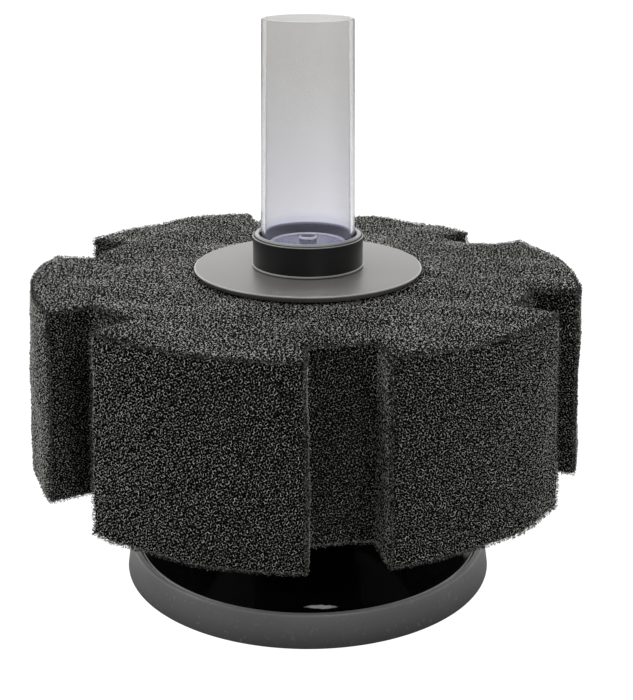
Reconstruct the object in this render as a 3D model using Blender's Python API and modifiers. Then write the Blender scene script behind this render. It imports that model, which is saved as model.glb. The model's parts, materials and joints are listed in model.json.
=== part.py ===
"""Aquarium sponge filter: weighted base, strainer core, notched foam block and clear lift tube.

Metres, +Z up. The origin is on the table under the middle of the base, and every joint axis
is the vertical axis through it. Angles of notches and slots are counted from the front (-Y)
towards +X. Turned pieces are profiles of (radius, height) pairs swept by a Screw modifier.
"""
import bmesh
import bpy
from math import cos, pi, radians, sin
from mathutils import Matrix, Vector

# Driving dimensions
SPONGE_TOP_RADIUS = 0.0762
SPONGE_FOOT_RADIUS = 0.0784
SPONGE_BOTTOM = 0.0351
SPONGE_HEIGHT = 0.0551
NOTCH_COUNT = 6
FIRST_NOTCH_ANGLE = radians(7.5)
NOTCH_MOUTH = 0.0200
NOTCH_FLOOR = 0.0166
NOTCH_DEPTH = 0.0138
BASE_RADIUS = 0.0546
BASE_HEIGHT = 0.0096
DISC_RADIUS = 0.0324
DISC_THICKNESS = 0.0018
CORE_RADIUS = 0.0165
COLLAR_RADIUS = 0.0156
COLLAR_HEIGHT = 0.0094
TUBE_FOOT_RADIUS = 0.0134
TUBE_TIP_RADIUS = 0.0126
TUBE_TOP = 0.1610
STEM_RADIUS = 0.0110
CLEARANCE = 0.0003

# Walls and small features
CORE_WALL = 0.0022
TUBE_WALL = 0.0013
BASE_FLOOR = 0.0018
RIM_WIDTH = 0.0018
BASE_TAPER = 0.0013
SPIGOT_WALL = 0.0020
SPIGOT_LENGTH = 0.0120
SLOT_WIDTH = 0.0026
SLOT_HEIGHT = 0.0190
SLOT_MIDDLES = (0.0475, 0.0695)
SLOTS_AROUND = 12
NIPPLE_RADIUS = 0.00265
NIPPLE_BORE = 0.00165

# Heights that follow from the stack
SPONGE_TOP = SPONGE_BOTTOM + SPONGE_HEIGHT
CORE_TOP = SPONGE_TOP
DISC_BOTTOM = CORE_TOP + CLEARANCE
DISC_TOP = DISC_BOTTOM + DISC_THICKNESS
COLLAR_BOTTOM = DISC_TOP + CLEARANCE
COLLAR_TOP = COLLAR_BOTTOM + COLLAR_HEIGHT
NIPPLE_TOP = COLLAR_TOP - 0.0009
HUB_TOP = COLLAR_BOTTOM + 0.0012
LEDGE = COLLAR_BOTTOM + 0.0004
TUBE_BOTTOM = LEDGE + CLEARANCE
SPIGOT_BOTTOM = COLLAR_BOTTOM - SPIGOT_LENGTH
CORE_FLANGE_TOP = SPONGE_BOTTOM - CLEARANCE
CORE_FLANGE_BOTTOM = CORE_FLANGE_TOP - 0.0022
BOSS_TOP = 0.0223
PLUG_SHOULDER_BOTTOM = BOSS_TOP + CLEARANCE
PLUG_SHOULDER_TOP = PLUG_SHOULDER_BOTTOM + 0.0026
CORE_BOTTOM = PLUG_SHOULDER_TOP + CLEARANCE
PLATE_BOTTOM = 0.0069
PLATE_TOP = 0.0087

# Radii that follow from the fits
CORE_BORE = CORE_RADIUS - CORE_WALL
SPIGOT_RADIUS = CORE_BORE - CLEARANCE
SPIGOT_BORE = SPIGOT_RADIUS - SPIGOT_WALL
SOCKET_BORE = STEM_RADIUS + CLEARANCE
TUBE_SOCKET_BORE = TUBE_FOOT_RADIUS + 0.00035
DISH_RIM = BASE_RADIUS - BASE_TAPER
DISH_BORE = DISH_RIM - RIM_WIDTH
BOSS_WALL = 0.0029
SEAL_MIDDLE = TUBE_BOTTOM + 0.0037

RIM_STEPS = 64
WALL_STEPS = 48
SMALL_STEPS = 32
SMOOTH_ANGLE = radians(35)
MERGE_DISTANCE = 0.00001


def clear_scene():
    for old in list(bpy.data.objects):
        bpy.data.objects.remove(old, do_unlink=True)


def new_collection(name):
    collection = bpy.data.collections.new(name)
    bpy.context.scene.collection.children.link(collection)
    return collection


def make_material(name, colour, roughness, transmission=0.0):
    material = bpy.data.materials.new(name)
    material.use_nodes = True
    shader = material.node_tree.nodes["Principled BSDF"]
    shader.inputs["Base Color"].default_value = (*colour, 1.0)
    shader.inputs["Metallic"].default_value = 0.0
    shader.inputs["Roughness"].default_value = roughness
    shader.inputs["Transmission Weight"].default_value = transmission
    return material


def make_body(name, height, parent=None):
    """Add an empty on the joint axis; the pieces of one moving body hang from it."""
    empty = bpy.data.objects.new(name, None)
    parts.objects.link(empty)
    empty.empty_display_size = 0.01
    empty.parent = parent
    parent_height = parent["height"] if parent else 0.0
    empty["height"] = height
    empty.location.z = height - parent_height
    return empty


def hang(piece, body, material):
    """Give a piece its body and material; its mesh is drawn in world heights."""
    piece.parent = body
    piece.location.z = 0.0
    piece.data.transform(Matrix.Translation((0.0, 0.0, -body["height"])))
    piece.data.materials.append(material)


def turned(name, outline, steps=WALL_STEPS, closed=True):
    """Sweep an outline of (radius, height) points around the vertical axis.

    A closed outline makes a ring; an open one starts and ends on the axis.
    """
    points = [(radius, 0.0, height) for radius, height in outline]
    edges = [(i, i + 1) for i in range(len(points) - 1)]
    if closed:
        edges.append((len(points) - 1, 0))
    mesh = bpy.data.meshes.new(name)
    mesh.from_pydata(points, edges, [])
    piece = bpy.data.objects.new(name, mesh)
    parts.objects.link(piece)
    screw = piece.modifiers.new("Screw", "SCREW")
    screw.axis = "Z"
    screw.angle = 2 * pi
    screw.steps = steps
    screw.render_steps = steps
    screw.use_merge_vertices = True
    screw.merge_threshold = MERGE_DISTANCE
    return piece


def arc(centre, radius, start, end, count):
    """Points of a round corner, from one angle to another, counted from +radius upwards."""
    return [
        (
            centre[0] + radius * cos(start + (end - start) * i / count),
            centre[1] + radius * sin(start + (end - start) * i / count),
        )
        for i in range(count + 1)
    ]


def link_cutter(name, shape):
    mesh = bpy.data.meshes.new(name)
    shape.to_mesh(mesh)
    shape.free()
    cutter = bpy.data.objects.new(name, mesh)
    cutters.objects.link(cutter)
    cutter.hide_render = True
    cutter.display_type = "WIRE"
    return cutter


def around(angle, radius, height):
    """Place something at an angle from the front, facing outwards along its own -Y."""
    return Matrix.Rotation(angle, 4, "Z") @ Matrix.Translation((0.0, -radius, height))


def add_cylinder(shape, radius, length, matrix, sides=24):
    """Add a capped cylinder, centred on the matrix's own Z axis."""
    bmesh.ops.create_cone(
        shape,
        cap_ends=True,
        segments=sides,
        radius1=radius,
        radius2=radius,
        depth=length,
        matrix=matrix,
    )


def add_box(shape, size, matrix):
    bmesh.ops.create_cube(shape, size=1.0, matrix=matrix @ Matrix.Diagonal((*size, 1.0)))


def combine(piece, cutter, operation):
    boolean = piece.modifiers.new(cutter.name, "BOOLEAN")
    boolean.operation = operation
    boolean.solver = "EXACT"
    boolean.object = cutter


def bake(piece):
    """Turn a piece's modifiers into its mesh, so that it can be shaded by angle."""
    bpy.context.view_layer.update()
    evaluated = piece.evaluated_get(bpy.context.evaluated_depsgraph_get())
    mesh = bpy.data.meshes.new_from_object(evaluated)
    mesh.name = piece.name
    piece.modifiers.clear()
    piece.data = mesh
    mesh.shade_smooth()
    mesh.set_sharp_from_angle(angle=SMOOTH_ANGLE)


def make_base_dish():
    """Tapered dish that stands on the table and holds the ballast."""
    rim_round = 0.0004
    foot_chamfer = 0.0004
    outline = [
        (0.0, BASE_FLOOR),
        (DISH_BORE, BASE_FLOOR),
        *arc((DISH_BORE + rim_round, BASE_HEIGHT - rim_round), rim_round, pi, pi / 2, 2),
        *arc((DISH_RIM - rim_round, BASE_HEIGHT - rim_round), rim_round, pi / 2, 0.0, 2),
        (BASE_RADIUS, foot_chamfer),
        (BASE_RADIUS - foot_chamfer, 0.0),
        (0.0, 0.0),
    ]
    return turned("base_dish", outline, steps=RIM_STEPS, closed=False)


def make_base_weight():
    """Ballast ring that lies in the dish."""
    inner = SOCKET_BORE + BOSS_WALL + CLEARANCE
    outer = DISH_BORE - 2 * CLEARANCE
    low = BASE_FLOOR + CLEARANCE
    high = PLATE_BOTTOM - CLEARANCE
    chamfer = 0.0006
    outline = [
        (inner, high),
        (outer - chamfer, high),
        (outer, high - chamfer),
        (outer, low),
        (inner, low),
    ]
    return turned("base_weight", outline, steps=SMALL_STEPS)


def make_base_top():
    """Glossy top plate, dished up at its edge, with the socket for the core's stem."""
    edge = DISH_BORE - CLEARANCE
    edge_round = 0.0018
    edge_lift = radians(50)
    boss = 0.0150
    foot_round = 0.0035
    chamfer = 0.0006
    low = BASE_FLOOR + CLEARANCE
    outline = [
        (SOCKET_BORE + chamfer, BOSS_TOP),
        (boss - chamfer, BOSS_TOP),
        (boss, BOSS_TOP - chamfer),
        *arc((boss + foot_round, PLATE_TOP + foot_round), foot_round, pi, 1.5 * pi, 2),
        *arc((edge - edge_round, PLATE_TOP + edge_round), edge_round, 1.5 * pi, 1.5 * pi + edge_lift, 2),
        (edge, PLATE_TOP + chamfer),
        (edge, PLATE_BOTTOM),
        (SOCKET_BORE + BOSS_WALL, PLATE_BOTTOM),
        (SOCKET_BORE + BOSS_WALL, low),
        (SOCKET_BORE, low),
        (SOCKET_BORE, BOSS_TOP - chamfer),
    ]
    return turned("base_top", outline)


def make_core_plug():
    """End plug of the core: a cup above, a shoulder, and a hollow stem below."""
    cup_depth = 0.0085
    spigot_top = PLUG_SHOULDER_TOP + cup_depth
    cup_bore = SPIGOT_RADIUS - CORE_WALL
    cup_floor = PLUG_SHOULDER_TOP - 0.0015
    stem_bottom = BASE_FLOOR + 0.0012
    stem_bore = STEM_RADIUS - CORE_WALL
    stem_ceiling = PLUG_SHOULDER_BOTTOM - 0.0010
    chamfer = 0.0006
    outline = [
        (0.0, cup_floor),
        (cup_bore, cup_floor),
        (cup_bore, spigot_top),
        (SPIGOT_RADIUS - chamfer, spigot_top),
        (SPIGOT_RADIUS, spigot_top - chamfer),
        (SPIGOT_RADIUS, PLUG_SHOULDER_TOP),
        (CORE_RADIUS, PLUG_SHOULDER_TOP),
        (CORE_RADIUS, PLUG_SHOULDER_BOTTOM),
        (STEM_RADIUS, PLUG_SHOULDER_BOTTOM),
        (STEM_RADIUS, stem_bottom + chamfer),
        (STEM_RADIUS - chamfer, stem_bottom),
        (stem_bore, stem_bottom),
        (stem_bore, stem_ceiling),
        (0.0, stem_ceiling),
    ]
    return turned("core_plug", outline, steps=SMALL_STEPS, closed=False)


def make_strainer_core():
    """Slotted tube with the flange that the foam stands on."""
    chamfer = 0.0005
    outline = [
        (CORE_BORE, CORE_TOP),
        (CORE_RADIUS - chamfer, CORE_TOP),
        (CORE_RADIUS, CORE_TOP - chamfer),
        (CORE_RADIUS, CORE_FLANGE_TOP),
        (DISC_RADIUS - chamfer, CORE_FLANGE_TOP),
        (DISC_RADIUS, CORE_FLANGE_TOP - chamfer),
        (DISC_RADIUS, CORE_FLANGE_BOTTOM + chamfer),
        (DISC_RADIUS - chamfer, CORE_FLANGE_BOTTOM),
        (CORE_RADIUS, CORE_FLANGE_BOTTOM),
        (CORE_RADIUS, CORE_BOTTOM),
        (CORE_BORE, CORE_BOTTOM),
    ]
    core = turned("strainer_core", outline)
    slot_size = (SLOT_WIDTH, 3 * CORE_WALL, SLOT_HEIGHT)
    slots = bmesh.new()
    for height in SLOT_MIDDLES:
        for index in range(SLOTS_AROUND):
            angle = 2 * pi * (index + 0.5) / SLOTS_AROUND
            add_box(slots, slot_size, around(angle, CORE_RADIUS - CORE_WALL / 2, height))
    combine(core, link_cutter("core_slots_cutter", slots), "DIFFERENCE")
    return core


def make_sponge():
    """Notched foam block, a little wider at its foot, with the bore for the core."""
    block = bmesh.new()
    middle = Matrix.Translation((0.0, 0.0, (SPONGE_BOTTOM + SPONGE_TOP) / 2))
    bmesh.ops.create_cone(
        block,
        cap_ends=True,
        segments=72,
        radius1=SPONGE_FOOT_RADIUS,
        radius2=SPONGE_TOP_RADIUS,
        depth=SPONGE_HEIGHT,
        matrix=middle,
    )
    mesh = bpy.data.meshes.new("sponge")
    block.to_mesh(mesh)
    block.free()
    sponge = bpy.data.objects.new("sponge", mesh)
    parts.objects.link(sponge)

    notches = bmesh.new()
    reach = 0.006
    flare = (NOTCH_MOUTH - NOTCH_FLOOR) / NOTCH_DEPTH
    outer_width = NOTCH_MOUTH + flare * reach
    mean_radius = (SPONGE_TOP_RADIUS + SPONGE_FOOT_RADIUS) / 2
    for index in range(NOTCH_COUNT):
        angle = FIRST_NOTCH_ANGLE + 2 * pi * index / NOTCH_COUNT
        made = bmesh.ops.create_cube(notches, size=1.0)
        for vert in made["verts"]:
            outside = vert.co.y < 0
            width = outer_width if outside else NOTCH_FLOOR
            distance = mean_radius + reach if outside else mean_radius - NOTCH_DEPTH
            vert.co = Vector((vert.co.x * width, -distance, vert.co.z * 1.2 * SPONGE_HEIGHT))
        lift = Matrix.Translation((0.0, 0.0, (SPONGE_BOTTOM + SPONGE_TOP) / 2))
        bmesh.ops.transform(notches, matrix=lift @ Matrix.Rotation(angle, 4, "Z"), verts=made["verts"])
    combine(sponge, link_cutter("notches_cutter", notches), "DIFFERENCE")

    edge = sponge.modifiers.new("Bevel", "BEVEL")
    edge.width = 0.0012
    edge.segments = 2
    edge.limit_method = "ANGLE"
    edge.angle_limit = radians(50)

    bore = bmesh.new()
    add_cylinder(bore, CORE_RADIUS + CLEARANCE, 1.2 * SPONGE_HEIGHT, middle, sides=WALL_STEPS)
    combine(sponge, link_cutter("sponge_bore_cutter", bore), "DIFFERENCE")
    return sponge


def make_top_disc():
    """Grey disc that the collar clamps on the foam."""
    edge_round = 0.0006
    bore = SPIGOT_RADIUS + CLEARANCE
    outline = [
        (bore, DISC_TOP),
        *arc((DISC_RADIUS - edge_round, DISC_TOP - edge_round), edge_round, pi / 2, 0.0, 2),
        *arc((DISC_RADIUS - edge_round, DISC_BOTTOM + edge_round), edge_round, 0.0, -pi / 2, 2),
        (bore, DISC_BOTTOM),
    ]
    return turned("top_disc", outline, steps=RIM_STEPS)


def make_tube_seal():
    """Rubber ring in the collar's groove, around the lift tube."""
    half_width = 0.0004
    half_height = 0.0007
    sides = 6
    radius = TUBE_FOOT_RADIUS + CLEARANCE + half_width
    outline = []
    for i in range(sides):
        turn = 2 * pi * i / sides
        outline.append((radius + half_width * sin(turn), SEAL_MIDDLE + half_height * cos(turn)))
    return turned("tube_seal", outline, steps=SMALL_STEPS)


def make_collar():
    """Black ring nut: tube socket above, threaded spigot below, spider for the air pieces."""
    lip_bead = 0.0002
    lip_round = (COLLAR_RADIUS + lip_bead - TUBE_SOCKET_BORE) / 2
    lip_centre = (TUBE_SOCKET_BORE + lip_round, COLLAR_TOP - lip_round)
    foot_proud = 0.00015
    foot_top = COLLAR_BOTTOM + 0.0009
    chamfer = 0.0006
    groove_half_height = 0.0010
    groove_top = SEAL_MIDDLE + groove_half_height
    groove_bottom = SEAL_MIDDLE - groove_half_height
    groove_radius = TUBE_FOOT_RADIUS + 0.0014
    outline = [
        *arc(lip_centre, lip_round, pi, 0.0, 5),
        (COLLAR_RADIUS, COLLAR_TOP - lip_round - chamfer),
        (COLLAR_RADIUS, foot_top),
        (COLLAR_RADIUS + foot_proud, foot_top - foot_proud),
        (COLLAR_RADIUS + foot_proud, COLLAR_BOTTOM),
        (SPIGOT_RADIUS, COLLAR_BOTTOM),
        (SPIGOT_RADIUS, SPIGOT_BOTTOM + chamfer),
        (SPIGOT_RADIUS - chamfer, SPIGOT_BOTTOM),
        (SPIGOT_BORE, SPIGOT_BOTTOM),
        (SPIGOT_BORE, LEDGE),
        (TUBE_SOCKET_BORE, LEDGE),
        (TUBE_SOCKET_BORE, groove_bottom),
        (groove_radius, groove_bottom),
        (groove_radius, groove_top),
        (TUBE_SOCKET_BORE, groove_top),
    ]
    collar = turned("collar", outline)

    hub_radius = 0.0046
    hub_bottom = COLLAR_BOTTOM - 0.0060
    hub_length = HUB_TOP - hub_bottom
    hub_middle = Matrix.Translation((0.0, 0.0, hub_bottom + hub_length / 2))
    hub = bmesh.new()
    add_cylinder(hub, hub_radius, hub_length, hub_middle)
    combine(collar, link_cutter("collar_hub", hub), "UNION")
    rib_count = 3
    rib_width = 0.0016
    rib_height = 0.0036
    rib_middle = hub_bottom + 0.0005 + rib_height / 2
    bite = 0.0008
    rib_size = (rib_width, SPIGOT_BORE - hub_radius + 2 * bite, rib_height)
    for index in range(rib_count):
        rib = bmesh.new()
        middle_radius = (SPIGOT_BORE + hub_radius) / 2
        add_box(rib, rib_size, around(2 * pi * index / rib_count, middle_radius, rib_middle))
        combine(collar, link_cutter(f"collar_rib_{index + 1}", rib), "UNION")
    bore = bmesh.new()
    add_cylinder(bore, NIPPLE_RADIUS + CLEARANCE, 3 * hub_length, hub_middle)
    combine(collar, link_cutter("collar_hub_bore", bore), "DIFFERENCE")
    return collar


def make_air_stem():
    """Air pipe that hangs from the collar's hub, with outlet holes in its swollen foot."""
    top = HUB_TOP - 0.0034
    foot = 0.0450
    head_top = foot + 0.0100
    head_radius = 0.0042
    head_wall = 0.0012
    neck = head_top + 0.0020
    chamfer = 0.0008
    bore = 0.0015
    outline = [
        (0.0, foot + head_wall),
        (head_radius - head_wall, foot + head_wall),
        (head_radius - head_wall, head_top),
        (bore, neck),
        (bore, top),
        (NIPPLE_RADIUS, top),
        (NIPPLE_RADIUS, neck),
        (head_radius, head_top),
        (head_radius, foot + chamfer),
        (head_radius - chamfer, foot),
        (0.0, foot),
    ]
    stem = turned("air_stem", outline, steps=16, closed=False)
    holes = bmesh.new()
    hole_count = 8
    hole_radius = 0.0005
    hole_height = foot + 0.0055
    for index in range(hole_count):
        place = around(2 * pi * (index + 0.5) / hole_count, head_radius - head_wall / 2, hole_height)
        sideways = Matrix.Rotation(pi / 2, 4, "X")
        add_cylinder(holes, hole_radius, 2 * head_wall, place @ sideways, sides=8)
    combine(stem, link_cutter("stem_holes_cutter", holes), "DIFFERENCE")
    return stem


def make_air_nozzle():
    """Clear disc with the nipple that takes the air line; the water rises around its edge."""
    disc_edge = 0.0109
    disc_top = NIPPLE_TOP - 0.0024
    disc_bottom = disc_top - 0.0013
    rim_width = 0.0012
    step = 0.0003
    tip_chamfer = 0.0005
    stub_bottom = HUB_TOP - 0.0030
    shoulder = HUB_TOP + CLEARANCE
    hub_radius = 0.0038
    outline = [
        (NIPPLE_BORE, NIPPLE_TOP),
        (NIPPLE_RADIUS - tip_chamfer, NIPPLE_TOP),
        (NIPPLE_RADIUS, NIPPLE_TOP - tip_chamfer),
        (NIPPLE_RADIUS - step, disc_top + step),
        (hub_radius, disc_top + step),
        (disc_edge - rim_width, disc_top - step),
        (disc_edge - rim_width + step, disc_top),
        (disc_edge - step, disc_top),
        (disc_edge, disc_top - step),
        (disc_edge, disc_bottom),
        (hub_radius, disc_bottom),
        (hub_radius, shoulder),
        (NIPPLE_RADIUS, shoulder),
        (NIPPLE_RADIUS, stub_bottom),
        (NIPPLE_BORE, stub_bottom),
    ]
    return turned("air_nozzle", outline, steps=SMALL_STEPS)


def make_lift_tube():
    """Clear lift tube, drafted slightly towards its top, with eased flat rims."""
    ease = 0.0003
    outline = [
        (TUBE_TIP_RADIUS - TUBE_WALL + ease, TUBE_TOP),
        (TUBE_TIP_RADIUS - ease, TUBE_TOP),
        (TUBE_TIP_RADIUS, TUBE_TOP - ease),
        (TUBE_FOOT_RADIUS, TUBE_BOTTOM + ease),
        (TUBE_FOOT_RADIUS - ease, TUBE_BOTTOM),
        (TUBE_FOOT_RADIUS - TUBE_WALL + ease, TUBE_BOTTOM),
        (TUBE_FOOT_RADIUS - TUBE_WALL, TUBE_BOTTOM + ease),
        (TUBE_TIP_RADIUS - TUBE_WALL, TUBE_TOP - ease),
    ]
    return turned("lift_tube", outline, steps=RIM_STEPS)


clear_scene()
parts = new_collection("sponge_filter")
cutters = new_collection("cutters")

satin_black = make_material("satin_black_plastic", (0.045, 0.045, 0.045), 0.45)
gloss_black = make_material("gloss_black_plastic", (0.004, 0.004, 0.004), 0.08)
dark_plastic = make_material("dark_plastic", (0.012, 0.012, 0.012), 0.40)
collar_plastic = make_material("collar_plastic", (0.010, 0.010, 0.010), 0.35)
grey_plastic = make_material("grey_plastic", (0.30, 0.29, 0.28), 0.42)
ballast = make_material("ballast", (0.23, 0.22, 0.20), 0.90)
foam = make_material("foam", (0.020, 0.020, 0.019), 0.95)
rubber = make_material("seal_rubber", (0.012, 0.012, 0.012), 0.70)
clear_plastic = make_material("clear_plastic", (0.93, 0.93, 0.95), 0.05, transmission=1.0)

base = make_body("base_body", 0.0)
core = make_body("core_body", PLUG_SHOULDER_BOTTOM, base)
block = make_body("sponge_body", SPONGE_BOTTOM, core)
disc = make_body("disc_body", DISC_BOTTOM, block)
rise = make_body("collar_rise_body", COLLAR_BOTTOM, disc)
collar_turn = make_body("collar_body", COLLAR_BOTTOM, rise)
nozzle_lift = make_body("nozzle_body", HUB_TOP, collar_turn)
tube_slide = make_body("tube_body", TUBE_BOTTOM, collar_turn)

pieces = [
    (make_base_dish(), base, satin_black),
    (make_base_weight(), base, ballast),
    (make_base_top(), base, gloss_black),
    (make_core_plug(), core, dark_plastic),
    (make_strainer_core(), core, dark_plastic),
    (make_sponge(), block, foam),
    (make_top_disc(), disc, grey_plastic),
    (make_tube_seal(), rise, rubber),
    (make_collar(), collar_turn, collar_plastic),
    (make_air_stem(), collar_turn, dark_plastic),
    (make_air_nozzle(), nozzle_lift, clear_plastic),
    (make_lift_tube(), tube_slide, clear_plastic),
]
for piece, body, material in pieces:
    bake(piece)
    hang(piece, body, material)
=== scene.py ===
"""Looks of the aquarium sponge filter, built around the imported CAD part.

Metres, +Z up, in the CAD part's own frame. The foam and every moulded piece that shows are
modelled anew here, finer than the CAD solids they stand for; the hidden pieces are the CAD
nodes themselves with procedural materials.
"""

import json
from math import cos, pi, radians, sin

import bmesh
import bpy
import numpy as np
from mathutils import Euler, Matrix, Vector

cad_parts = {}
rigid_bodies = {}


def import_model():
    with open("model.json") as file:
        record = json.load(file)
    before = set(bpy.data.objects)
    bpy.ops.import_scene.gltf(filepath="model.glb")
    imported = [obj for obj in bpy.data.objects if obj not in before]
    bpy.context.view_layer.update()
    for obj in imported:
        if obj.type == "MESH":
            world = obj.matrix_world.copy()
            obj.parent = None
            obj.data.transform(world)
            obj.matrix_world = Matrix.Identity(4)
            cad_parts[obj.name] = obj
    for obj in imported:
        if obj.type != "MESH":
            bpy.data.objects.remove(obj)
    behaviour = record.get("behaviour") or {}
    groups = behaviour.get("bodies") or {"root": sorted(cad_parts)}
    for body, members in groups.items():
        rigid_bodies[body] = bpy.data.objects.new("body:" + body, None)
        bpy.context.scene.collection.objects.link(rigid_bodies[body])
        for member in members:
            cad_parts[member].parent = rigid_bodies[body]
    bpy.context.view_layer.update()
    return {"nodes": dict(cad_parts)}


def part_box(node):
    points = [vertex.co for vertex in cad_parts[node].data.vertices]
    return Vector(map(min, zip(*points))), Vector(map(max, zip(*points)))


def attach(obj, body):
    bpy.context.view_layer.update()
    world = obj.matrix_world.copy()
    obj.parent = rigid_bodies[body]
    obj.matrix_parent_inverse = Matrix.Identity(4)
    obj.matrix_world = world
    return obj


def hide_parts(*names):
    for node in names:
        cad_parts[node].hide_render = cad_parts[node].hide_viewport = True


for default_object in list(bpy.data.objects):
    bpy.data.objects.remove(default_object)
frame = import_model()
rng = np.random.default_rng(20)

# Fits, as the CAD solids have them
CORE_RADIUS = 0.0165
CLEARANCE = 0.0003

# Foam block, as the CAD solid has it
NOTCH_COUNT = 6
FIRST_NOTCH = radians(7.5)
NOTCH_MOUTH = 0.0200
NOTCH_FLOOR = 0.0166
NOTCH_DEPTH = 0.0138
FOOT_FLARE = 0.0022
EDGE_ROUND = 0.0016

# How the real block departs from its drawing, lobe by lobe from the front right lobe round:
# how far each lobe reaches out, how far its top sags, and how far its underside lifts. All of
# it fades in from the lobes' root to their tip, which are radii.
LOBE_REACH = (0.0, 0.0004, -0.0020, 0.0018, 0.0020, 0.0009)
LOBE_SAG = (0.0, 0.0, 0.0006, -0.0003, 0.0, 0.0)
LOBE_LIFT = (-0.0003, 0.0003, 0.0, 0.0, 0.0011, 0.0)
LOBE_ROOT = 0.040
LOBE_TIP = 0.072
WAVE_LENGTH = 0.022
WAVE_HEIGHT = 0.00025

# Foam structure
PORE = 0.00071
PORE_SLIP = 0.25 * PORE
PORE_SLIP_LIMIT = 0.45 * PORE
PORE_DEPTH = 0.0006
STRUT_ROUGHNESS = 0.00012
STRUT_RISE = 0.00020
SKIN_INSET = 0.0002

# Frayed edges of the foam. The fray is full up to one distance from the edge and gone at
# another, and the skin lies deeper below its loose struts and the posts that hold them.
FRAY_FULL = 0.0003
FRAY_REACH = 0.0019
FRAY_INSET = 0.0009
FRAY_STRUTS = 24000
POST_SHARE = 0.5
POST_ROOT = 0.0005
SPINDLE_RADIUS = (0.00007, 0.00012)
SPINDLE_OVERRUN = 0.00006
SPINDLE_WOBBLE = 0.00006

# Which struts catch the light, and how much
LIT_SHARE = 0.96
LIT_NEIGHBOURS_ON_TOP = 2
NOTCH_DIMMING = 0.13
TOP_GLEAM = 0.12

# Side of the corner of the texture that the foam's palette fills, so that it bakes fast
PALETTE_SIDE = 1 / 16

# Features per metre of the textures in the plastics
CLOUD_SCALE = 90
GRAIN_SCALE = 2600
SPECK_SCALE = 900
SCRATCH_SCALE = 700
BAND_SCALE = 55

# Dish of the base, as the CAD solid has it
DISH_HEIGHT = 0.0096
DISH_FLOOR = 0.0018
DISH_TAPER = 0.0013
RIM_WIDTH = 0.0018

# Camera
CAMERA_PLACE = (0.0, -0.373, 0.1941)
CAMERA_TILT = radians(18.87)
CAMERA_LENS = 69.55
CAMERA_SENSOR = 36.0
CAMERA_SHIFT = 0.0123


# ---------------------------------------------------------------- meshes
def link(name, data):
    piece = bpy.data.objects.new(name, data)
    bpy.context.scene.collection.objects.link(piece)
    return piece


def link_shape(name, shape):
    """Object from a bmesh, which is freed."""
    mesh = bpy.data.meshes.new(name)
    shape.to_mesh(mesh)
    shape.free()
    return link(name, mesh)


def triangle_mesh(name, points, triangles):
    """Mesh from arrays of corner positions and of corner numbers, three to a triangle."""
    mesh = bpy.data.meshes.new(name)
    mesh.vertices.add(len(points))
    mesh.vertices.foreach_set("co", points.astype(np.float32).ravel())
    mesh.loops.add(triangles.size)
    mesh.loops.foreach_set("vertex_index", triangles.astype(np.int32).ravel())
    mesh.polygons.add(len(triangles))
    starts = 3 * np.arange(len(triangles), dtype=np.int32)
    mesh.polygons.foreach_set("loop_start", starts)
    mesh.update(calc_edges=True)
    return mesh


def read_mesh(mesh):
    """Corner positions and unit normals of a mesh, as arrays."""
    count = len(mesh.vertices)
    points = np.empty(3 * count)
    mesh.vertices.foreach_get("co", points)
    normals = np.empty(3 * count)
    mesh.vertex_normals.foreach_get("vector", normals)
    return points.reshape(-1, 3), normals.reshape(-1, 3)


def arc(centre, radius, start, end, count):
    """Points of a round corner, from one angle to another, counted from +radius upwards."""
    return [
        (
            centre[0] + radius * cos(start + (end - start) * i / count),
            centre[1] + radius * sin(start + (end - start) * i / count),
        )
        for i in range(count + 1)
    ]


def turned(name, outline, steps=256, closed=True):
    """Sweep an outline of (radius, height) points around the vertical axis.

    A closed outline makes a ring; an open one starts and ends on the axis.
    """
    points = [(radius, 0.0, height) for radius, height in outline]
    edges = [(i, i + 1) for i in range(len(points) - 1)]
    if closed:
        edges.append((len(points) - 1, 0))
    mesh = bpy.data.meshes.new(name)
    mesh.from_pydata(points, edges, [])
    piece = link(name, mesh)
    screw = piece.modifiers.new("Screw", "SCREW")
    screw.axis = "Z"
    screw.angle = 2 * pi
    screw.steps = steps
    screw.render_steps = steps
    screw.use_merge_vertices = True
    screw.merge_threshold = 0.00001
    bake(piece)
    return piece


def bake(piece, smooth_angle=radians(35)):
    """Turn a piece's modifiers into its mesh and shade it by angle."""
    bpy.context.view_layer.update()
    evaluated = piece.evaluated_get(bpy.context.evaluated_depsgraph_get())
    mesh = bpy.data.meshes.new_from_object(evaluated)
    piece.modifiers.clear()
    piece.data = mesh
    mesh.shade_smooth()
    mesh.set_sharp_from_angle(angle=smooth_angle)


def settle(piece, material, node, body):
    """Give a finished piece its material and its body, and let it stand for its CAD node."""
    piece.data.materials.clear()
    piece.data.materials.append(material)
    if node:
        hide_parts(node)
    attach(piece, body)


def paint_edge_highlight(piece, material, bands):
    """Paint highlights on a turned piece: give a second, paler material to its faces outside each band's
    radius.

    A band is a radius with the lowest and the highest height at which it counts.
    """
    piece.data.materials.append(material)
    for face in piece.data.polygons:
        radius, height = face.center.xy.length, face.center.z
        if any(radius > inside and low < height < high for inside, low, high in bands):
            face.material_index = 1


# ---------------------------------------------------------------- materials
def new_material(name):
    material = bpy.data.materials.new(name)
    material.use_nodes = True
    tree = material.node_tree
    return material, tree, tree.nodes["Principled BSDF"]


def add(tree, kind, inputs=None, **settings):
    """Add a shader node; an input is either a value or another node's output."""
    node = tree.nodes.new("ShaderNode" + kind)
    for key, value in settings.items():
        setattr(node, key, value)
    for key, value in (inputs or {}).items():
        plug(tree, node.inputs[key], value)
    return node


def plug(tree, socket, value):
    if isinstance(value, bpy.types.NodeSocket):
        tree.links.new(value, socket)
    else:
        socket.default_value = value


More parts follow.
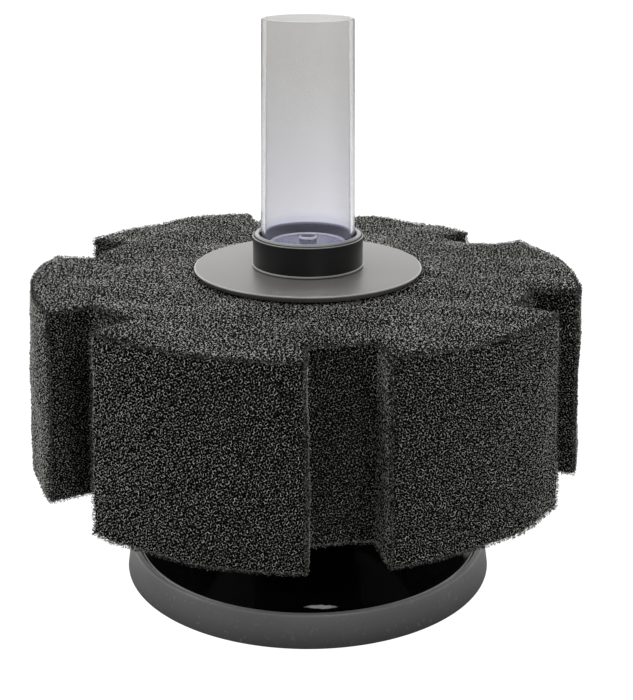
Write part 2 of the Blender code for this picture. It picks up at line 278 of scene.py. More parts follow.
def ramp(tree, factor, stops):
    """Colour ramp through (position, grey or colour) stops."""
    node = add(tree, "ValToRGB", {"Fac": factor})
    elements = node.color_ramp.elements
    while len(elements) < len(stops):
        elements.new(0.5)
    for element, (position, colour) in zip(elements, stops):
        element.position = position
        element.color = (*colour, 1.0) if isinstance(colour, tuple) else grey(colour)
    return node.outputs["Color"]


def noise(tree, scale, detail=3.0, roughness=0.5, stretch=None):
    """Noise over the object's own coordinates, in features per metre."""
    place = add(tree, "TexCoord").outputs["Object"]
    if stretch:
        place = add(tree, "Mapping", {"Vector": place, "Scale": stretch}).outputs["Vector"]
    return add(
        tree,
        "TexNoise",
        {"Vector": place, "Scale": scale, "Detail": detail, "Roughness": roughness},
    ).outputs["Fac"]


def mix(tree, factor, first, second, blend="MIX"):
    inputs = {"Fac": factor, "Color1": first, "Color2": second}
    return add(tree, "MixRGB", inputs, blend_type=blend).outputs["Color"]


def grey(value, warmth=0.0):
    return (value * (1 + warmth), value, value * (1 - warmth), 1.0)


def by_height(tree, stops):
    """Grey or colour that runs through (height, value) stops up the piece."""
    place = add(tree, "TexCoord").outputs["Object"]
    height = add(tree, "SeparateXYZ", {"Vector": place}).outputs["Z"]
    low, high = stops[0][0], stops[-1][0]
    inputs = {"Value": height, "From Min": low, "From Max": high}
    share = add(tree, "MapRange", inputs).outputs["Result"]
    return ramp(tree, share, [((stop - low) / (high - low), value) for stop, value in stops])


def moulded(name, colour, roughness, grain=0.05, mottle=0.12, specks=0.0, shine=0.5, fade=None):
    """Moulded plastic: fine texture in the mould, slight clouding, and a few pale specks.

    fade holds (height, share) stops: how much of its colour the plastic has up the piece; this paints
    light and shade by height.
    """
    material, tree, shader = new_material(name)
    cloud = noise(tree, CLOUD_SCALE, detail=4)
    fine = noise(tree, GRAIN_SCALE, detail=2)
    darker = tuple(c * (1 - mottle) for c in colour[:3]) + (1.0,)
    lighter = tuple(c * (1 + mottle) for c in colour[:3]) + (1.0,)
    base = mix(tree, cloud, darker, lighter)
    if fade:
        base = mix(tree, 1.0, base, by_height(tree, fade), blend="MULTIPLY")
    if specks:
        dust = ramp(tree, noise(tree, SPECK_SCALE, detail=1), [(0.64, 0.0), (0.72, specks)])
        base = mix(tree, dust, base, grey(0.45))
    plug(tree, shader.inputs["Base Color"], base)
    shader.inputs["Specular IOR Level"].default_value = shine
    rough = ramp(tree, fine, [(0.3, roughness * 0.85), (0.7, roughness * 1.15)])
    plug(tree, shader.inputs["Roughness"], rough)
    bump = add(tree, "Bump", {"Height": fine, "Strength": grain, "Distance": 0.0002})
    plug(tree, shader.inputs["Normal"], bump.outputs["Normal"])
    return material


def clear(name, stops, ior=1.49, roughness=0.02, edge_share=1.0):
    """Clear plastic, tinted where light crosses its surfaces, with faint drawn lines along it.

    Each stop is a height with the tint and the share of milky haze that the plastic has there;
    seen aslant, where the light's way through it is long, it keeps only edge_share of its tint.
    """
    material, tree, shader = new_material(name)
    lines = noise(tree, SCRATCH_SCALE, detail=3, stretch=(1.0, 1.0, 0.02))
    streaks = noise(tree, BAND_SCALE, detail=1, stretch=(1.0, 1.0, 0.06))
    tint = by_height(tree, [(height, colour) for height, colour, _ in stops])
    bands = ramp(tree, streaks, [(0.3, 0.90), (0.7, 1.0)])
    tint = mix(tree, 1.0, tint, bands, blend="MULTIPLY")
    aslant = add(tree, "LayerWeight", {"Blend": 0.5}).outputs["Facing"]
    edge_tint = ramp(tree, aslant, [(0.66, 1.0), (0.86, edge_share)])
    plug(tree, shader.inputs["Base Color"], mix(tree, 1.0, tint, edge_tint, blend="MULTIPLY"))
    clearness = by_height(tree, [(height, 1 - haze) for height, _, haze in stops])
    plug(tree, shader.inputs["Transmission Weight"], clearness)
    rough = ramp(tree, lines, [(0.35, roughness), (0.75, roughness * 2.5)])
    plug(tree, shader.inputs["Roughness"], rough)
    shader.inputs["IOR"].default_value = ior
    return material


def paint_highlight_streak(material, colour, middle, reach):
    """Paint one pale streak, of the given half lengths, over a material of one colour: a painted
    highlight, the glint of a lamp.
    """
    tree = material.node_tree
    shader = tree.nodes["Principled BSDF"]
    place = add(tree, "TexCoord").outputs["Object"]
    inputs = {"Vector": place, "Location": middle, "Scale": reach}
    local = add(tree, "Mapping", inputs, vector_type="TEXTURE").outputs["Vector"]
    nearness = add(tree, "TexGradient", {"Vector": local}, gradient_type="SPHERICAL").outputs["Fac"]
    broken = mix(tree, 0.35, nearness, noise(tree, SCRATCH_SCALE, detail=3))
    streak = ramp(tree, broken, [(0.36, 0.0), (0.48, 1.0)])
    plug(tree, shader.inputs["Base Color"], mix(tree, streak, colour, grey(0.95)))


def foam_material():
    """Struts over black pores. The palette UV holds how near a point is to a strut's crest, and
    how light that strut is."""
    material, tree, shader = new_material("foam")
    dark_strut = (0.002, 0.002, 0.0017)
    light_strut = (0.94, 0.945, 0.87)
    corner = add(tree, "UVMap", uv_map="OFBake").outputs["UV"]
    inputs = {0: corner, "Scale": 1 / PALETTE_SIDE}
    palette = add(tree, "VectorMath", inputs, operation="SCALE").outputs[0]
    split = add(tree, "SeparateXYZ", {"Vector": palette})
    crest = ramp(tree, split.outputs["X"], [(0.76, 0.0), (0.98, 1.0)])
    strut = ramp(tree, split.outputs["Y"], [(0.40, dark_strut), (0.95, light_strut)])
    plug(tree, shader.inputs["Base Color"], mix(tree, crest, grey(0.001), strut))
    plug(tree, shader.inputs["Roughness"], ramp(tree, crest, [(0.0, 0.9), (1.0, 0.45)]))
    plug(tree, shader.inputs["Specular IOR Level"], ramp(tree, crest, [(0.0, 0.0), (1.0, 0.5)]))
    return material


# ---------------------------------------------------------------- foam
def sponge_frame():
    """Radius at the foot and at the top, and the heights of foot and top, of the CAD sponge."""
    low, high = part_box("sponge")
    foot_radius = (high.x - low.x) / 2
    return foot_radius, foot_radius - FOOT_FLARE, low.z, high.z


def foam_solid():
    """Clean block with notches, bore and eased edges."""
    foot_radius, top_radius, bottom, top = sponge_frame()
    height = top - bottom
    middle = Matrix.Translation((0.0, 0.0, (bottom + top) / 2))
    shape = bmesh.new()
    bmesh.ops.create_cone(
        shape,
        cap_ends=True,
        segments=180,
        radius1=foot_radius,
        radius2=top_radius,
        depth=height,
        matrix=middle,
    )
    block = link_shape("foam_solid", shape)

    cuts = bmesh.new()
    reach = 0.006
    cut_height = 1.2 * height
    mean_radius = (foot_radius + top_radius) / 2
    outer_width = NOTCH_MOUTH + (NOTCH_MOUTH - NOTCH_FLOOR) / NOTCH_DEPTH * reach
    for index in range(NOTCH_COUNT):
        made = bmesh.ops.create_cube(cuts, size=1.0)
        for vert in made["verts"]:
            outside = vert.co.y < 0
            width = outer_width if outside else NOTCH_FLOOR
            distance = mean_radius + reach if outside else mean_radius - NOTCH_DEPTH
            vert.co = Vector((vert.co.x * width, -distance, vert.co.z * cut_height))
        turn = Matrix.Rotation(FIRST_NOTCH + 2 * pi * index / NOTCH_COUNT, 4, "Z")
        bmesh.ops.transform(cuts, matrix=middle @ turn, verts=made["verts"])
    bore = CORE_RADIUS + CLEARANCE
    bmesh.ops.create_cone(
        cuts,
        cap_ends=True,
        segments=96,
        radius1=bore,
        radius2=bore,
        depth=cut_height,
        matrix=middle,
    )
    cutter = link_shape("foam_cuts", cuts)
    boolean = block.modifiers.new("Cuts", "BOOLEAN")
    boolean.object = cutter
    boolean.solver = "EXACT"
    bevel = block.modifiers.new("Edges", "BEVEL")
    bevel.width = EDGE_ROUND
    bevel.segments = 3
    bevel.limit_method = "ANGLE"
    bevel.angle_limit = radians(50)
    bake(block)
    bpy.data.objects.remove(cutter)
    return block


def pore_grid(block):
    """Even quads of one pore each over the block, laid at a slant so that no face shows rows."""
    slant = Euler((radians(31), radians(17), radians(43))).to_matrix().to_4x4()
    block.data.transform(slant)
    remesh = block.modifiers.new("Pores", "REMESH")
    remesh.mode = "VOXEL"
    remesh.voxel_size = PORE
    bake(block)
    block.data.transform(slant.inverted())
    block.data.update()
    points, normals = read_mesh(block.data)
    quads = np.empty(4 * len(block.data.polygons), int)
    block.data.polygons.foreach_get("vertices", quads)
    bpy.data.objects.remove(block)
    return points, normals, quads.reshape(-1, 4)


def edge_distance(points):
    """How far each surface point is from the block's nearest outward edge."""
    foot_radius, top_radius, bottom, top = sponge_frame()
    radius = np.hypot(points[:, 0], points[:, 1])
    share = (points[:, 2] - bottom) / (top - bottom)
    side = foot_radius + (top_radius - foot_radius) * share - radius
    floor_distance = (foot_radius + top_radius) / 2 - NOTCH_DEPTH
    flare = (NOTCH_MOUTH - NOTCH_FLOOR) / NOTCH_DEPTH / 2
    notch = np.full(len(points), np.inf)
    for index in range(NOTCH_COUNT):
        angle = FIRST_NOTCH + 2 * pi * index / NOTCH_COUNT
        out = points[:, 0] * sin(angle) - points[:, 1] * cos(angle)
        across = points[:, 0] * cos(angle) + points[:, 1] * sin(angle)
        wall = np.abs(across) - NOTCH_FLOOR / 2 - flare * (out - floor_distance)
        outside_notch = np.maximum(floor_distance - out, wall)
        notch = np.minimum(notch, np.where(out > 0, outside_notch, np.inf))
    gaps = np.abs(np.stack([top - points[:, 2], points[:, 2] - bottom, side, notch], axis=1))
    gaps.sort(axis=1)
    return gaps[:, 1]


def waves(points, size, count=10):
    """Smooth noise of about unit height, made of sine waves in random directions."""
    total = np.zeros(len(points))
    for _ in range(count):
        direction = rng.normal(size=3)
        direction /= np.linalg.norm(direction)
        length = size * rng.uniform(0.6, 1.6)
        total += np.sin(points @ direction * (2 * pi / length) + rng.uniform(0, 2 * pi))
    return total / np.sqrt(count / 2)


def smoothstep(values, low, high):
    share = np.clip((values - low) / (high - low), 0.0, 1.0)
    return share * share * (3 - 2 * share)


def unit(vectors):
    return vectors / (np.linalg.norm(vectors, axis=1, keepdims=True) + 1e-12)


def shape_lobes(points):
    """Give each lobe its own reach, sag and lift, fading out towards the block's middle."""
    radius = np.hypot(points[:, 0], points[:, 1])
    turn = (np.arctan2(points[:, 0], -points[:, 1]) - FIRST_NOTCH) / (2 * pi / NOTCH_COUNT)
    lobe = np.floor(turn).astype(int)
    into = turn - lobe
    half_notch = 0.12
    own = smoothstep(into, -half_notch, half_notch) * smoothstep(1 - into, -half_notch, half_notch)
    other = np.where(into < 0.5, lobe - 1, lobe + 1) % NOTCH_COUNT
    fade = smoothstep(radius, LOBE_ROOT, LOBE_TIP)
    reach, sag, lift = (
        fade * (own * np.array(values)[lobe % NOTCH_COUNT] + (1 - own) * np.array(values)[other])
        for values in (LOBE_REACH, LOBE_SAG, LOBE_LIFT)
    )
    _, _, bottom, top = sponge_frame()
    moved = points.copy()
    moved[:, :2] *= (1 + reach / np.maximum(radius, 0.01))[:, None]
    share = (points[:, 2] - bottom) / (top - bottom)
    moved[:, 2] += lift * (1 - share) - sag * share
    return moved


def uneven_skin(points, normals):
    """Nudge the pores off their grid, and lay them over slow waves."""
    slip = rng.normal(0, PORE_SLIP, points.shape)
    slip -= normals * np.sum(slip * normals, axis=1, keepdims=True)
    skin = points + np.clip(slip, -PORE_SLIP_LIMIT, PORE_SLIP_LIMIT)
    return skin + normals * (WAVE_HEIGHT * waves(points, WAVE_LENGTH))[:, None]


def cut_quads(quads):
    """First triangles of all quads, then second ones, each cut on either diagonal at random."""
    flip = (rng.random(len(quads)) < 0.5)[:, None]
    return np.concatenate([
        np.where(flip, quads[:, [0, 1, 2]], quads[:, [0, 1, 3]]),
        np.where(flip, quads[:, [0, 2, 3]], quads[:, [1, 2, 3]]),
    ])


def shared_edges(faces, count):
    """Start and end of every edge of a closed mesh, and the faces to its left and right."""
    corners = faces.shape[1]
    sides = np.concatenate([faces[:, [i, (i + 1) % corners]] for i in range(corners)])
    owner = np.tile(np.arange(len(faces)), corners)
    key = sides.min(axis=1).astype(np.int64) * count + sides.max(axis=1)
    ahead = sides[:, 0] < sides[:, 1]
    first = np.flatnonzero(ahead)[np.argsort(key[ahead])]
    second = np.flatnonzero(~ahead)[np.argsort(key[~ahead])]
    return sides[first, 0], sides[first, 1], owner[first], owner[second]


def lit_quads(quads, count, upward):
    """Pores with a strut that catches the light: nearly all of them, but on the block's top, which
    is seen aslant, only those that outrank most of the pores round them, so that they lie evenly."""
    rank = rng.random(len(quads))
    _, _, left, right = shared_edges(quads, count)
    outranked = np.bincount(left, rank[right] > rank[left], len(quads))
    outranked += np.bincount(right, rank[left] > rank[right], len(quads))
    spared = rng.random(len(quads)) > smoothstep(upward, 0.3, 0.9)
    return (rng.random(len(quads)) < LIT_SHARE) & (spared | (outranked <= LIT_NEIGHBOURS_ON_TOP))


def recess_share(crests, crest_normals):
    """How much of each strut is in the shade of a notch or of the bore: on upright walls only."""
    foot_radius, top_radius, _, _ = sponge_frame()
    radius = np.hypot(crests[:, 0], crests[:, 1])
    inside = smoothstep((foot_radius + top_radius) / 2 - radius, 0.002, 0.006)
    upright = smoothstep(1 - np.abs(crest_normals[:, 2]), 0.2, 0.6)
    return inside * upright


def foam_cells():
    """The foam's skin: a pit for every pore, and ridges for the struts between the pores."""
    points, normals, quads = pore_grid(foam_solid())
    count = len(points)
    near_edge = 1 - smoothstep(edge_distance(points), FRAY_FULL, FRAY_REACH)
    skin = uneven_skin(shape_lobes(points) - SKIN_INSET * normals, normals)

    triangles = cut_quads(quads)
    crests = skin[triangles].mean(axis=1)
    crest_normals = unit(normals[triangles].mean(axis=1))
    crest_edge = near_edge[triangles].mean(axis=1)
    first_lit = rng.random(len(quads)) < 0.5
    lit_quad = lit_quads(quads, count, normals[quads].mean(axis=1)[:, 2])
    lit = np.concatenate([first_lit & lit_quad, ~first_lit & lit_quad])
    lift = rng.normal(0, STRUT_ROUGHNESS, (len(triangles), 1))
    lift += np.where(lit, STRUT_RISE, -STRUT_RISE)[:, None]
    inner_crests = crests + crest_normals * (lift - FRAY_INSET * crest_edge[:, None])
    depth = PORE_DEPTH * (0.6 + 0.8 * rng.random((count, 1)))
    pits = skin - normals * (depth + FRAY_INSET * near_edge[:, None])

    start, end, left, right = shared_edges(triangles, count)
    faces = np.concatenate([
        np.stack([start, count + right, count + left], axis=1),
        np.stack([end, count + left, count + right], axis=1),
    ])
    return {
        "points": np.concatenate([pits, inner_crests]),
        "faces": faces,
        "pit_count": count,
        "crests": crests + crest_normals * lift,
        "crest_normals": crest_normals,
        "crest_edge": crest_edge,
        "lit": lit,
        "recess": recess_share(crests, crest_normals),
        "strut_ends": np.stack([left, right], axis=1),
    }


def paint(mesh, crest, lightness, corners):
    """Palette UV: across, how near to a strut's crest; up, how light the strut is."""
    layer = mesh.uv_layers.new(name="OFBake")
    lightness = np.clip(lightness, 0.01, 0.99)
    values = PALETTE_SIDE * np.stack([crest, lightness], axis=1)[corners.ravel()]
    layer.data.foreach_set("uv", values.astype(np.float32).ravel())


def foam_skin(cells):
    """Closed skin of the block, painted strut by strut: black pits, and light and dark crests."""
    mesh = triangle_mesh("foam_block", cells["points"], cells["faces"])
    lit = cells["lit"]
    pit_count = cells["pit_count"]
    bright = rng.uniform(0.7, 1.0, len(lit))
    dim = rng.uniform(0.0, 0.2, len(lit))
    strut = np.where(lit, bright, dim)
    strut *= 1 - NOTCH_DIMMING * cells["recess"]
    strut += TOP_GLEAM * (lit & (cells["crest_normals"][:, 2] > 0.5))
    crest = np.concatenate([np.full(pit_count, 0.02), np.full(len(lit), 0.98)])
    lightness = np.concatenate([np.full(pit_count, 0.1), strut])
    paint(mesh, crest, lightness, cells["faces"])
    return link("foam_block", mesh)


def spindles(first, second, normal):
    """Thin closed struts from point to point: two tips and a three-sided waist each."""
    count = len(first)
    along = unit(second - first)
    across = unit(np.cross(along, normal))
    third = np.cross(along, across)
    thickness = rng.uniform(*SPINDLE_RADIUS, (count, 1))
    tips = [first - along * SPINDLE_OVERRUN, second + along * SPINDLE_OVERRUN]
    middle = (first + second) / 2 + rng.normal(0, SPINDLE_WOBBLE, (count, 3))
    waist = [
        middle + thickness * (cos(angle) * across + sin(angle) * third)
        for angle in (0, 2 * pi / 3, 4 * pi / 3)
    ]
    points = np.stack(tips + waist, axis=1).reshape(-1, 3)
    pattern = np.array([[0, 3, 2], [0, 4, 3], [0, 2, 4], [1, 2, 3], [1, 3, 4], [1, 4, 2]])
    faces = (5 * np.arange(count)[:, None, None] + pattern).reshape(-1, 3)
    return points, faces


def foam_fray(cells):
    """Loose open struts along the block's cut edges, and posts that hold them to the skin."""
    crests, normals, ends = cells["crests"], cells["crest_normals"], cells["strut_ends"]
    edge = cells["crest_edge"][ends].mean(axis=1)
    chosen = np.flatnonzero(rng.random(len(ends)) < 0.9 * smoothstep(edge, 0.12, 0.55))
    chosen = rng.permutation(chosen)[:FRAY_STRUTS]
    starts, stops = ends[chosen, 0], ends[chosen, 1]
    posts = np.unique(starts)
    posts = posts[rng.random(len(posts)) < POST_SHARE]
    post_feet = crests[posts] - normals[posts] * (FRAY_INSET + POST_ROOT)
    first = np.concatenate([crests[starts], crests[posts]])
    second = np.concatenate([crests[stops], post_feet])
    normal = np.concatenate([normals[starts], unit(rng.normal(size=(len(posts), 3)))])
    points, faces = spindles(first, second, normal)
    mesh = triangle_mesh("foam_fray", points, faces)
    count = len(first)
    # Corner by corner of each spindle: its two tips, then its waist
    crest = np.tile([0.8, 0.9, 0.99, 0.97, 0.95], count)
    shade = np.tile([0.8, 1.0, 0.85, 0.95, 0.9], count)
    lightness = np.repeat(rng.beta(1.4, 2.7, count), 5) * shade
    paint(mesh, crest, lightness, faces)
    return link("foam_fray", mesh)


def make_foam():
    material = foam_material()
    cells = foam_cells()
    settle(foam_skin(cells), material, "sponge", "foam")
    settle(foam_fray(cells), material, None, "foam")


# ---------------------------------------------------------------- base
def make_dish():
    """Tapered dish with a rounded rim, painted darkest at the table (painted shade) and palest along the
    rim (painted highlight).
    """
    low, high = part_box("base_dish")
    foot = (high.x - low.x) / 2
    foot_round = 0.0004
    rim = foot - DISH_TAPER
    rim_round = 0.0004
    top = low.z + DISH_HEIGHT
    outline = [
        (0.0, DISH_FLOOR),
        (rim - RIM_WIDTH, DISH_FLOOR),
        *arc((rim - RIM_WIDTH + rim_round, top - rim_round), rim_round, pi, pi / 2, 5),
        *arc((rim - rim_round, top - rim_round), rim_round, pi / 2, 0.0, 5),
        *arc((foot - foot_round, low.z + foot_round), foot_round, 0.0, -pi / 2, 3),
        (0.0, low.z),
    ]
    dish = turned("base_dish_shell", outline, closed=False)
    # Painted shade towards the table and a painted highlight along the rim, as shares of the colour by
    # height
    fade = [
        (low.z, 0.17),
        (low.z + 0.0045, 0.32),
        (top - 0.0008, 0.43),
        (top - 0.0003, 0.5),
        (top, 1.0),
    ]
    satin = moulded("base_satin", grey(0.38), 0.38, specks=0.15, fade=fade)
    settle(dish, satin, "base_dish", "base")


def make_plate():
    """Plate that fills the dish, turned up at its edge, with the socket's boss in its middle and a
    painted highlight streak near its front edge.
    """
    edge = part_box("base_dish")[1].x - DISH_TAPER - RIM_WIDTH - CLEARANCE
    edge_round = 0.0010
    upturn = radians(35)
    plate_top = 0.0087
    plate_bottom = 0.0069
    boss_top = 0.0223
    socket = 0.0113
    boss = 0.0150
    foot_round = 0.0035
    chamfer = 0.0006
    inner_wall = socket + 0.0029
    bottom = DISH_FLOOR + CLEARANCE
    outline = [
        (socket + chamfer, boss_top),
        *arc((boss - chamfer, boss_top - chamfer), chamfer, pi / 2, 0.0, 4),
        *arc((boss + foot_round, plate_top + foot_round), foot_round, pi, 1.5 * pi, 8),
        *arc((edge - edge_round, plate_top + edge_round), edge_round, 1.5 * pi, 1.5 * pi + upturn, 8),
        (edge, plate_top + edge_round / 4),
        (edge, plate_bottom),
        (inner_wall, plate_bottom),
        (inner_wall, bottom),
        (socket, bottom),
        (socket, boss_top - chamfer),
    ]
    plate = turned("base_top_plate", outline)
    black = grey(0.003)
    gloss = moulded("base_gloss", black, 0.06, grain=0.01, shine=0.12)
    # Painted highlight: a pale streak near the plate's front edge stands for a lamp's glint
    streak_middle = (0.0037, 0.0042 - edge, plate_top)
    streak_reach = (0.0064, 0.0016, 0.0016)
    paint_highlight_streak(gloss, black, streak_middle, streak_reach)
    settle(plate, gloss, "base_top", "base")


# ---------------------------------------------------------------- fittings on the foam
def make_disc():
    """Thin disc with a rounded edge that is undercut; the top of the edge is painted paler, a painted
    highlight.
    """
    low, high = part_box("top_disc")
    radius = high.x
    edge_round = 0.0004
    undercut = 0.0011
    bore = 0.0143
    outline = [
        (bore, high.z),
        *arc((radius - edge_round, high.z - edge_round), edge_round, pi / 2, -pi / 6, 8),
        (radius - undercut, low.z),
        (bore, low.z),
    ]
    disc = turned("top_disc_plate", outline)
    satin = moulded("disc_satin", grey(0.17, 0.03), 0.36, mottle=0.04, shine=0.4)
    settle(disc, satin, "top_disc", "disc")
    # Painted highlight: a paler material on the top of the rounded edge
    edge = moulded("disc_edge", grey(0.40, 0.02), 0.35, mottle=0.3)
    paint_edge_highlight(disc, edge, [(radius - edge_round, high.z - 0.8 * edge_round, high.z)])


def thread_outline(radius, top, turns=4, pitch=0.0020):
    """Rings that stand for the spigot's thread, from the top down."""
    depth = 0.0006
    half_mouth = 0.00075
    half_floor = 0.0003
    points = []
    for index in range(turns):
        middle = top - index * pitch
        points += [
            (radius, middle + half_mouth),
            (radius - depth, middle + half_floor),
            (radius - depth, middle - half_floor),
            (radius, middle - half_mouth),
        ]
    return points


def make_collar():
    """Ring with a rounded lip, a fine foot line and the threaded spigot; hub and ribs inside. The lip,
    the bead and the foot line are painted pale: painted highlights.
    """
    low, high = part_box("collar")
    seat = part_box("top_disc")[1].z + CLEARANCE
    radius = 0.0156
    socket = 0.01375
    lip_round = 0.00065
    lip_middle = (socket + lip_round, high.z - lip_round)
    bead = 0.00022
    bead_proud = 0.0001
    bead_middle = (radius + bead_proud - bead, high.z - 0.0009)
    neck = high.z - 0.0015
    foot = 0.0002
    foot_height = 0.0005
    spigot = 0.0140
    bore = 0.0120
    ledge = seat + 0.0004
    groove = 0.0148
    groove_low = ledge + 0.0030
    groove_high = ledge + 0.0050
    chamfer = 0.0006
    outline = [
        *arc(lip_middle, lip_round, pi, -pi / 8, 14),
        *arc(bead_middle, bead, 0.8 * pi, -pi / 4, 6),
        (radius, neck),
        (radius, seat + foot_height),
        (radius + foot, seat + foot_height - foot),
        (radius + foot, seat),
        (spigot, seat),
        *thread_outline(spigot, seat - 0.0022),
        (spigot, low.z + chamfer),
        (spigot - chamfer, low.z),
        (bore, low.z),
        (bore, ledge),
        (socket, ledge),
        (socket, groove_low),
        (groove, groove_low),
        (groove, groove_high),
        (socket, groove_high),
    ]
    black = moulded("collar_black", grey(0.005), 0.33, grain=0.06)
    ring = turned("collar_ring", outline, steps=192)
    settle(ring, black, "collar", "collar")
    # Painted highlights: the lip, the bead and the foot line get a pale material
    bands = [
        (socket, high.z - 0.0005, high.z),
        (bead_middle[0], bead_middle[1], bead_middle[1] + bead),
        (radius, seat, seat + foot_height),
    ]
    paint_edge_highlight(ring, moulded("collar_edges", grey(0.36), 0.35, mottle=0.35), bands)
    settle(collar_spider(seat, bore), black, None, "collar")


def collar_spider(seat, bore):
    """Hub that takes the nozzle, on three ribs across the collar's bore."""
    hub_top = seat + 0.0012
    hub_bottom = seat - 0.0060
    hub = 0.0046
    hub_round = 0.0003
    hole = 0.00295
    rib_width = 0.0016
    rib_height = 0.0036
    rib_middle = hub_bottom + 0.0023
    overlap = 0.0003
    outline = [
        (hole, hub_top),
        *arc((hub - hub_round, hub_top - hub_round), hub_round, pi / 2, 0.0, 3),
        *arc((hub - hub_round, hub_bottom + hub_round), hub_round, 0.0, -pi / 2, 3),
        (hole, hub_bottom),
    ]
    spider = turned("collar_spider", outline, steps=64)
    ribs = bmesh.new()
    for index in range(3):
        turn = Matrix.Rotation(2 * pi * index / 3, 4, "Z")
        place = Matrix.Translation((0.0, -(bore + hub) / 2, rib_middle))
        size = Matrix.Diagonal((rib_width, bore - hub + 2 * overlap, rib_height, 1.0))
        bmesh.ops.create_cube(ribs, size=1.0, matrix=turn @ place @ size)
    cutter = link_shape("ribs", ribs)
    union = spider.modifiers.new("Ribs", "BOOLEAN")
    union.operation = "UNION"
    union.object = cutter
    bake(spider)
    bpy.data.objects.remove(cutter)
    return spider


def make_nozzle():
    """Clear disc with the nipple; its raised rim is the bright line seen down the tube, a painted
    highlight: rim and nipple top are made pale and milky.
    """
    low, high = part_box("air_nozzle")
    edge = high.x
    edge_round = 0.0004
    disc_top = high.z - 0.0014
    disc_bottom = disc_top - 0.0013
    bead = 0.0012
    step = 0.0003
    nipple = 0.00265
    nipple_round = 0.0005
    bore = 0.00165
    hub = 0.0038
    shoulder = low.z + 0.0033
    outline = [
        (bore, high.z),
        *arc((nipple - nipple_round, high.z - nipple_round), nipple_round, pi / 2, 0.0, 5),
        (nipple - step, disc_top + step),
        (hub, disc_top + step),
        (edge - bead, disc_top - step),
        *arc((edge - edge_round, disc_top - edge_round), edge_round, pi / 2, 0.0, 5),
        (edge, disc_bottom),
        (hub, disc_bottom),
        (hub, shoulder),
        (nipple, shoulder),
        (nipple, low.z),
        (bore, low.z),
    ]
    nozzle = turned("nozzle_disc", outline, steps=128)
    violet = (0.42, 0.43, 0.53)
    body = clear("nozzle_clear", [(low.z, violet, 0.3), (high.z, violet, 0.3)], roughness=0.005)
    settle(nozzle, body, "air_nozzle", "nozzle")
    # Painted highlight: the rim's bead and the nipple's top get a pale, milky material
    pale = (0.97, 0.96, 1.0)
    edges = clear("nozzle_edges", [(low.z, pale, 0.85), (high.z, pale, 0.85)])
    bands = [
        (edge - bead, disc_top - step, disc_top),
        (bore + 0.0001, high.z - 0.0006, high.z),
    ]
    paint_edge_highlight(nozzle, edges, bands)


def make_tube():
    """Lift tube with a slight taper: milky and faintly violet where it stands in the collar,
    clear above that, and hazier again towards its tip."""
    low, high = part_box("lift_tube")
    foot = high.x
    tip = foot - 0.0008
    wall = 0.0013
    ease = 0.0003
    outline = [
        *arc((tip - ease, high.z - ease), ease, pi / 2, 0.0, 4),
        *arc((foot - ease, low.z + ease), ease, 0.0, -pi / 2, 4),
        *arc((foot - wall + ease, low.z + ease), ease, -pi / 2, -pi, 4),
        *arc((tip - wall + ease, high.z - ease), ease, pi, pi / 2, 4),
    ]
    violet = (0.74, 0.745, 0.86)
    stops = [
        (low.z, violet, 0.13),
        (low.z + 0.009, violet, 0.11),
        (low.z + 0.012, (0.79, 0.79, 0.82), 0.0),
        (high.z - 0.010, (0.77, 0.765, 0.755), 0.2),
    ]
    material = clear("tube_clear", stops, ior=1.12, roughness=0.003, edge_share=0.3)
    settle(turned("lift_tube_clear", outline, steps=192), material, "lift_tube", "tube")


def dress_cad():
    """Give the carried-over CAD nodes their materials."""
    dark = moulded("core_plastic", grey(0.014), 0.42)
    stone = moulded("ballast_stone", grey(0.22, 0.05), 0.9, grain=0.6, mottle=0.35, specks=0.4)
    looks = {
        "base_weight": stone,
        "core_plug": dark,
        "strainer_core": dark,
        "air_stem": dark,
        "tube_seal": moulded("seal_rubber", grey(0.010), 0.7, grain=0.2),
    }
    for node, material in looks.items():
        frame["nodes"][node].material_slots[0].material = material


# ---------------------------------------------------------------- stage
def make_floor():
    """Pale floor that shows as white where it is seen, straight or through the tube."""
    reach = 4.0
    drop = 0.0001
    points = [(-reach, -reach, 0.0), (reach, -reach, 0.0), (reach, reach, 0.0), (-reach, reach, 0.0)]
    mesh = bpy.data.meshes.new("floor")
    mesh.from_pydata(points, [], [(0, 1, 2, 3)])
    floor = link("floor", mesh)
    floor.location.z = -drop
    material, tree, shader = new_material("floor")
    plug(tree, shader.inputs["Base Color"], mix(tree, noise(tree, 2.0), grey(0.86), grey(0.90)))
    shader.inputs["Roughness"].default_value = 0.7
    glow = add(tree, "Emission", {"Color": grey(1.0), "Strength": 1.15})
    ray = add(tree, "LightPath").outputs
    seen = add(tree, "Math", {0: ray["Is Camera Ray"], 1: 0.9}, operation="MULTIPLY").outputs[0]
    through = add(tree, "Math", {0: ray["Is Transmission Ray"], 1: 0.8}, operation="MULTIPLY").outputs[0]
    share = add(tree, "Math", {0: seen, 1: through}, operation="MAXIMUM").outputs[0]
    blend = add(tree, "MixShader", {"Fac": share, 1: shader.outputs[0], 2: glow.outputs[0]})
    plug(tree, tree.nodes["Material Output"].inputs["Surface"], blend.outputs[0])
    mesh.materials.append(material)


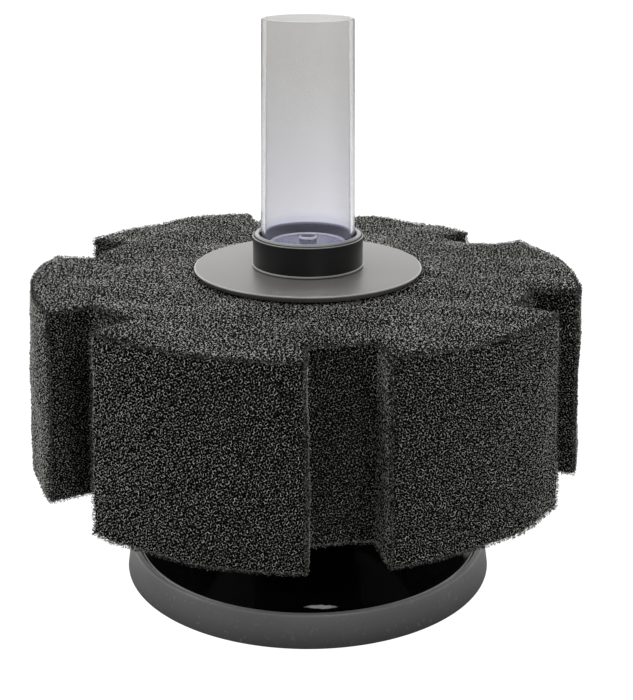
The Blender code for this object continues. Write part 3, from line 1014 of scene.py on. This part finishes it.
def make_world():
    """White backdrop where it is seen; for the light it gives, dim in front and bright behind."""
    world = bpy.data.worlds.new("studio")
    bpy.context.scene.world = world
    world.use_nodes = True
    sky = world.node_tree
    ray = add(sky, "LightPath").outputs
    inputs = {0: ray["Is Camera Ray"], 1: ray["Is Transmission Ray"]}
    seen = add(sky, "Math", inputs, operation="MAXIMUM").outputs[0]
    direction = add(sky, "TexCoord").outputs["Generated"]
    depth = add(sky, "SeparateXYZ", {"Vector": direction}).outputs["Y"]
    inputs = {"Value": depth, "From Min": -0.2, "From Max": 0.9, "To Min": 0.16, "To Max": 1.5}
    backdrop = add(sky, "MapRange", inputs, interpolation_type="SMOOTHSTEP").outputs["Result"]
    background = sky.nodes["Background"]
    plug(sky, background.inputs["Strength"], mix(sky, seen, backdrop, grey(1.10)))
    background.inputs["Color"].default_value = grey(1.0)


def make_lights():
    """Softboxes: each one's place, size and power, and whether glossy surfaces mirror it."""
    target = Vector((0.0, 0.0, 0.06))
    for name, place, size, power, mirrored in (
        ("top_softbox", (0.0, -0.05, 0.9), 0.6, 0.78, True),
        ("front_softbox", (0.35, -0.9, 0.65), 0.35, 2.8, True),
        ("left_softbox", (-0.7, -0.15, 0.62), 0.4, 2.0, True),
        ("back_softbox", (0.0, 0.6, 0.77), 0.25, 3.0, False),
    ):
        lamp = bpy.data.lights.new(name, "AREA")
        lamp.energy = power
        lamp.size = size
        light = link(name, lamp)
        light.location = place
        light.rotation_euler = (target - Vector(place)).to_track_quat("-Z", "Y").to_euler()
        light.visible_glossy = mirrored


def make_camera():
    lens = bpy.data.cameras.new("camera")
    lens.sensor_width = CAMERA_SENSOR
    lens.lens = CAMERA_LENS
    lens.shift_x = CAMERA_SHIFT
    lens.clip_start = 0.01
    camera = link("camera", lens)
    camera.location = CAMERA_PLACE
    camera.rotation_euler = (pi / 2 - CAMERA_TILT, 0.0, 0.0)
    bpy.context.scene.camera = camera
    bpy.context.scene.view_settings.view_transform = "Standard"


make_foam()
make_dish()
make_plate()
make_disc()
make_collar()
make_nozzle()
make_tube()
dress_cad()
make_floor()
make_world()
make_lights()
make_camera()
